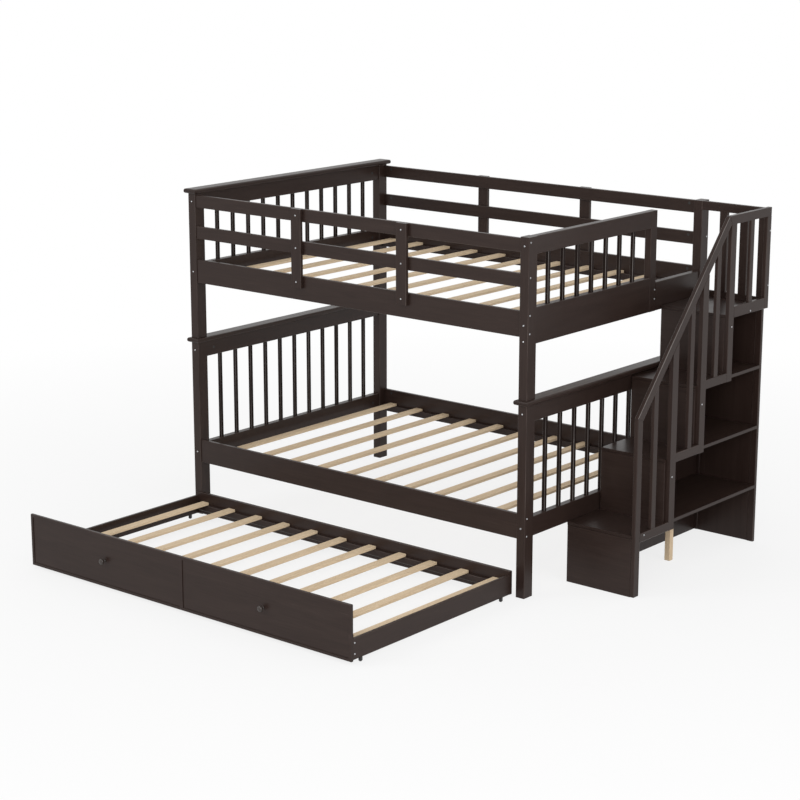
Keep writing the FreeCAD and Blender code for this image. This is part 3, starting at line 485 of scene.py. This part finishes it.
def bolt_rings(head_radius, shank_radius, shank):
    """The rings of a bolt from the floor of its socket over its head to the end of its shank."""
    rings = []
    for wide, up in SOCKET_FORM:
        rings.append(ring(wide * head_radius, up * BOLT_HEAD, BOLT_ROUND, SOCKET_CORNERS))
    for wide, up in HEAD_FORM:
        rings.append(ring(wide * head_radius, up * BOLT_HEAD, BOLT_ROUND))
    taper = BOLT_TAPER * shank_radius
    rings.append(ring(shank_radius, 0.0, BOLT_ROUND))
    rings.append(ring(shank_radius, taper - shank, BOLT_ROUND))
    rings.append(ring(shank_radius - taper, -shank, BOLT_ROUND))
    return rings


def socket_bolts(name, body, node):
    """Make a bolt with a socket head for each bolt of a CAD node."""
    skin = bmesh.new()
    for points in loose_solids(node):
        low, high = corners_of(points)
        middle = (low + high) / 2
        length = max(high - low)
        axis = list(high - low).index(length)
        outward = Vector((0.0, 0.0, 0.0))
        outward[axis] = 1.0

        # The head is at the end that reaches further out from the middle line.
        reach = {}
        for side, end in ((-1.0, low[axis]), (1.0, high[axis])):
            band = [point - middle for point in points if abs(point[axis] - end) < BOLT_END_BAND]
            reach[side] = max((point - outward * point[axis]).length for point in band)
        side = max(reach, key=reach.get)
        seat = middle + outward * side * (length / 2 - BOLT_HEAD)
        rings = bolt_rings(reach[side], reach[-side], length - BOLT_HEAD)
        add_turned(skin, rings, pointing(outward * side, seat))
    fit_piece(name, skin, bright_zinc, body, node)


bright_zinc = clouded_coat("bright_zinc", ZINC_TONES, ZINC_STOPS, ZINC_CLOUDS, ZINC_SATIN, metallic=1.0)
socket_bolts("bed_socket_bolts", "bed_and_stairs", "bed_bolts")

# Barrel nuts: short blackened steel pins with a threaded cross hole, let into the inside of the
# rails from the mattress side, where the bolts screw into them.
BLACKED_DARK = (0.012, 0.011, 0.011, 1.0)
BLACKED_WORN = (0.030, 0.028, 0.027, 1.0)
BLACKED_TONES = (BLACKED_DARK, BLACKED_WORN)
BLACKED_STOPS = (0.40, 0.75)
BLACKED_CLOUDS = {"per_metre": 900.0, "detail": 3.0}
BLACKED_SATIN = (0.38, 0.52)
BLACKED_PEEL = 0.2
blacked_steel = clouded_coat(
    "blacked_steel", BLACKED_TONES, BLACKED_STOPS, BLACKED_CLOUDS, BLACKED_SATIN, peel=BLACKED_PEEL)
dress(blacked_steel, "barrel_nuts")

# Stair walls: upright stained boards, one against the bed under each step, and a back of two
# posts with a thin panel between them, glued and dowelled edge to edge.
dress(upright_stain, "stair_side_panels", "stair_back_posts", "stair_back_panel")

# Risers: the front board and the boards between the steps, stained pine with its grain across the
# stairs, dowelled into the tread below and the one above.
dress(lengthwise_stain, "stair_risers")

# Treads: four stained boards, each one a step at its front and a shelf as it runs on to the back
# of the stairs, grain from front to back.
dress(crosswise_stain, "stair_treads")

# Support leg and battens: square lengths of bare pine, the leg under the middle of the first
# shelf, the battens behind the risers, where they take the bolts of the handrail's posts.
SAWN_ROUNDING = 0.001
dress(upright_pine, "stair_support_leg", "stair_battens")
sand_edges(SAWN_ROUNDING, "stair_support_leg")

# Handrail: a newel, a climbing rail and a level rail of stained pine, mitred and glued where they
# meet, in one plane outside the stairs. The round edges of the rails carry a painted highlight, a
# pale tone laid into their colour.
# Painted highlight: the pale tone on the rounded edges of the climbing and level rails.
HANDRAIL_EDGE_HIGHLIGHT = (0.2300, 0.2100, 0.1980, 1.0)
HIGHLIT_HANDRAIL_STAIN = (SPRAYED_DEEP, SPRAYED_MIDDLE, HANDRAIL_EDGE_HIGHLIGHT)
HANDRAIL_HIGHLIGHT_SHARE = 0.70
HANDRAIL_ROUNDING = 0.0034
newel_low, newel_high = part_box("handrail_newel")
level_low, level_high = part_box("handrail_level_rail")
climb = math.atan2(level_high[2] - newel_high[2], level_low[1] - newel_low[1])
ALONG_CLIMB = (math.pi / 2 - climb, 0.0, 0.0)
climbing_stain = stained_wood("climbing_stain", ALONG_CLIMB, HIGHLIT_HANDRAIL_STAIN, HANDRAIL_HIGHLIGHT_SHARE, SPRAYED_SHINE)
level_stain = stained_wood("level_stain", ALONG_Y, HIGHLIT_HANDRAIL_STAIN, HANDRAIL_HIGHLIGHT_SHARE, SPRAYED_SHINE)
dress(upright_stain, "handrail_newel")
dress(climbing_stain, "handrail_climbing_rail")
dress(level_stain, "handrail_level_rail")
sand_edges(HANDRAIL_ROUNDING, "handrail_newel", "handrail_climbing_rail", "handrail_level_rail")

# Handrail infill: posts under the climbing and level rails, short foot rails along the ends of
# the treads, and a flat bar in each bay, stained pine glued in and bolted to the stairs.
dress(upright_stain, "handrail_posts", "handrail_bars")
dress(crosswise_stain, "handrail_foot_rails")
sand_edges(SAWN_ROUNDING, "handrail_bars")

# Landing guard: a rail across the back of the top step, from the bed's back post to the handrail,
# on three short stiles that stand on the back of the stairs.
dress(lengthwise_stain, "landing_guard_rail")
dress(upright_stain, "landing_guard_stiles")

# Trundle front: one wide stained board, its grain lengthwise, with two shallow fields cut into its
# face so that it looks like a pair of drawers.
dress(lengthwise_stain, "trundle_front_panel")

# Knobs: small turned knobs, one in the middle of each field, screwed on from behind. They have a
# dark bronze coat, clouded where hands have polished it.
BRONZE_DARK = (0.020, 0.014, 0.012, 1.0)
BRONZE_WORN = (0.050, 0.036, 0.029, 1.0)
BRONZE_TONES = (BRONZE_DARK, BRONZE_WORN)
BRONZE_STOPS = (0.40, 0.75)
BRONZE_CLOUDS = {"per_metre": 300.0, "detail": 4.0}
BRONZE_SATIN = (0.36, 0.24)
KNOB_ROUND = 32

# Each pair is a share of the knob's radius and a share of its reach from the panel.
KNOB_FORM = (
    (0.54, 0.000), (0.54, 0.090), (0.42, 0.165), (0.37, 0.310), (0.44, 0.460), (0.70, 0.555),
    (0.95, 0.635), (1.00, 0.720), (0.95, 0.820), (0.76, 0.910), (0.47, 0.970), (0.18, 1.000),
)
dark_bronze = clouded_coat("dark_bronze", BRONZE_TONES, BRONZE_STOPS, BRONZE_CLOUDS, BRONZE_SATIN)
knob_skin = bmesh.new()
for knob_points in loose_solids("trundle_knobs"):
    knob_low, knob_high = corners_of(knob_points)
    knob_radius = (knob_high.x - knob_low.x) / 2
    knob_reach = knob_high.y - knob_low.y
    knob_seat = (knob_low + knob_high) / 2
    knob_seat.y = knob_high.y
    knob_rings = [ring(wide * knob_radius, out * knob_reach, KNOB_ROUND) for wide, out in KNOB_FORM]
    add_turned(knob_skin, knob_rings, pointing((0.0, -1.0, 0.0), knob_seat))
fit_piece("turned_knobs", knob_skin, dark_bronze, "trundle", "trundle_knobs")

# Trundle box: a front rail behind the panel, a back rail, two end boards and two cleats, stained
# pine boards bolted at the corners.
dress(lengthwise_stain, "trundle_front_rail", "trundle_back_rail", "trundle_slat_cleats")
dress(crosswise_stain, "trundle_end_panels")

# Trundle slats: eleven more bare pine slats, planed and sanded like the others, laid across the
# box on its cleats.
trundle_pine = bare_pine("trundle_pine", ALONG_Y, *slat_grid("trundle_slats"))
dress(trundle_pine, "trundle_slats")
sand_edges(SLAT_ROUNDING, "trundle_slats")

# Trundle bolts: the same zinc-plated socket bolts, put through the corners of the box and
# tightened with a key.
socket_bolts("trundle_socket_bolts", "trundle", "trundle_bolts")

# Casters: small fixed forks of folded steel with a black coat, their stems pushed up into the end
# boards, and on each axle a wheel moulded of black nylon with a thick tyre and a thin web.
NYLON_BLACK = (0.0100, 0.0095, 0.0095, 1.0)
NYLON_SCUFFED = (0.0350, 0.0330, 0.0320, 1.0)
NYLON_TONES = (NYLON_BLACK, NYLON_SCUFFED)
NYLON_STOPS = (0.45, 0.80)
NYLON_CLOUDS = {"per_metre": 500.0, "detail": 4.0}
NYLON_SATIN = (0.45, 0.62)
WHEEL_ROUND = 40

# Each pair is a share of the wheel's radius and a share of half its width.
WHEEL_FORM = (
    (0.175, -1.00), (0.36, -1.00), (0.39, -0.75), (0.66, -0.72), (0.72, -0.95), (0.86, -1.00),
    (0.955, -0.80), (1.00, -0.42), (1.00, 0.42), (0.955, 0.80), (0.86, 1.00), (0.72, 0.95),
    (0.66, 0.72), (0.39, 0.75), (0.36, 1.00), (0.175, 1.00),
)
dress(blacked_steel, "caster_forks")
black_nylon = clouded_coat("black_nylon", NYLON_TONES, NYLON_STOPS, NYLON_CLOUDS, NYLON_SATIN)
for corner in CORNERS:
    wheel_node = "%s_caster_wheel" % corner
    wheel_low, wheel_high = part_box(wheel_node)
    wheel_middle = (Vector(wheel_low) + Vector(wheel_high)) / 2
    wheel_radius = (wheel_high[2] - wheel_low[2]) / 2
    wheel_half = (wheel_high[0] - wheel_low[0]) / 2
    wheel_rings = [ring(out * wheel_radius, across * wheel_half, WHEEL_ROUND) for out, across in WHEEL_FORM]
    wheel_skin = bmesh.new()
    add_turned(wheel_skin, wheel_rings, pointing((1.0, 0.0, 0.0), wheel_middle), bored=True)
    fit_piece("%s_moulded_wheel" % corner, wheel_skin, black_nylon, wheel_node, wheel_node)

# Floor: a plain pale sheet under the bed. It shows white further off, and near the bed it keeps a
# part of the bed's soft shadow.
FLOOR_HALF = 60.0
FLOOR_DROP = 0.0005
FLOOR_PALE = (0.86, 0.86, 0.86, 1.0)
FLOOR_WHITE_NEAR = 0.80
FLOOR_NEAR = 1.6
FLOOR_FAR = 5.0


def seen_directly(tree):
    """1 for what the camera, a mirror or glass sees, and 0 for light that falls on something."""
    path = shader_node(tree, "ShaderNodeLightPath").outputs
    seen = combined(tree, "MAXIMUM", path["Is Camera Ray"], path["Is Glossy Ray"])
    return combined(tree, "MAXIMUM", seen, path["Is Transmission Ray"])


pale_floor, floor_tree, floor_shader = new_finish("pale_floor")
floor_shader.inputs["Base Color"].default_value = FLOOR_PALE
floor_shader.inputs["Roughness"].default_value = 1.0
floor_shader.inputs["Specular IOR Level"].default_value = 0.0
floor_white = shader_node(floor_tree, "ShaderNodeEmission", {"Strength": 1.0})
floor_place = shader_node(floor_tree, "ShaderNodeTexCoord").outputs
floor_off = shader_node(floor_tree, "ShaderNodeVectorMath", {0: floor_place["Object"]}, operation="LENGTH")
floor_share = spread(floor_tree, floor_off.outputs["Value"], FLOOR_NEAR, FLOOR_FAR, FLOOR_WHITE_NEAR, 1.0)
floor_share = combined(floor_tree, "MULTIPLY", floor_share, seen_directly(floor_tree))
floor_mix = shader_node(floor_tree, "ShaderNodeMixShader", {
    0: floor_share, 1: floor_shader.outputs[0], 2: floor_white.outputs[0],
})
floor_tree.links.new(floor_mix.outputs[0], floor_tree.nodes["Material Output"].inputs["Surface"])
floor_corners = [(-FLOOR_HALF, -FLOOR_HALF), (FLOOR_HALF, -FLOOR_HALF)]
floor_corners += [(FLOOR_HALF, FLOOR_HALF), (-FLOOR_HALF, FLOOR_HALF)]
floor_mesh = bpy.data.meshes.new("floor")
floor_mesh.from_pydata([(x, y, -FLOOR_DROP) for x, y in floor_corners], [], [(0, 1, 2, 3)])
floor_mesh.materials.append(pale_floor)
floor = bpy.data.objects.new("floor", floor_mesh)
bpy.context.scene.collection.objects.link(floor)

# Studio light: an even white room with three large soft lamps, one by the camera, one in front on
# the left and one on the right.
ROOM_LIGHT = 0.60
ROOM_WHITE = (1.0, 1.0, 1.0, 1.0)
room = bpy.data.worlds.new("room")
bpy.context.scene.world = room
room.use_nodes = True
room_walls = room.node_tree.nodes["Background"]
room_walls.inputs["Color"].default_value = ROOM_WHITE
room_level = spread(room.node_tree, seen_directly(room.node_tree), 0.0, 1.0, ROOM_LIGHT, 1.0)
room.node_tree.links.new(room_level, room_walls.inputs["Strength"])


def soft_lamp(name, place, aim, size, power):
    """Add a square lamp that looks at a point."""
    light = bpy.data.lights.new(name, "AREA")
    light.size = size
    light.energy = power
    lamp = bpy.data.objects.new(name, light)
    lamp.location = place
    lamp.rotation_euler = (Vector(aim) - Vector(place)).to_track_quat("-Z", "Y").to_euler()
    bpy.context.scene.collection.objects.link(lamp)


soft_lamp("camera_lamp", place=(5.0, -6.5, 2.6), aim=(0.3, 0.2, 0.7), size=3.0, power=205.0)
soft_lamp("left_lamp", place=(-4.0, -6.5, 5.0), aim=(0.0, 0.0, 0.8), size=4.0, power=150.0)
soft_lamp("right_lamp", place=(7.0, -1.0, 4.0), aim=(0.3, 0.2, 0.7), size=4.0, power=115.0)

# Camera: it stands in front on the right, a little above the bed, turned to the left and dipped
# down to the bed, with a long lens.
CAMERA_PLACE = (6.04275, -7.2266, 3.0671)
CAMERA_DIP = 0.24262
CAMERA_TURN = 0.69629
SENSOR_WIDE = 36.0
LENS_LONG = 94.79
camera_lens = bpy.data.cameras.new("camera")
camera_lens.sensor_width = SENSOR_WIDE
camera_lens.lens = LENS_LONG
camera = bpy.data.objects.new("camera", camera_lens)
camera.location = CAMERA_PLACE
camera.rotation_euler = (math.pi / 2 - CAMERA_DIP, 0.0, CAMERA_TURN)
bpy.context.scene.collection.objects.link(camera)
bpy.context.scene.camera = camera
bpy.context.scene.view_settings.view_transform = "Standard"
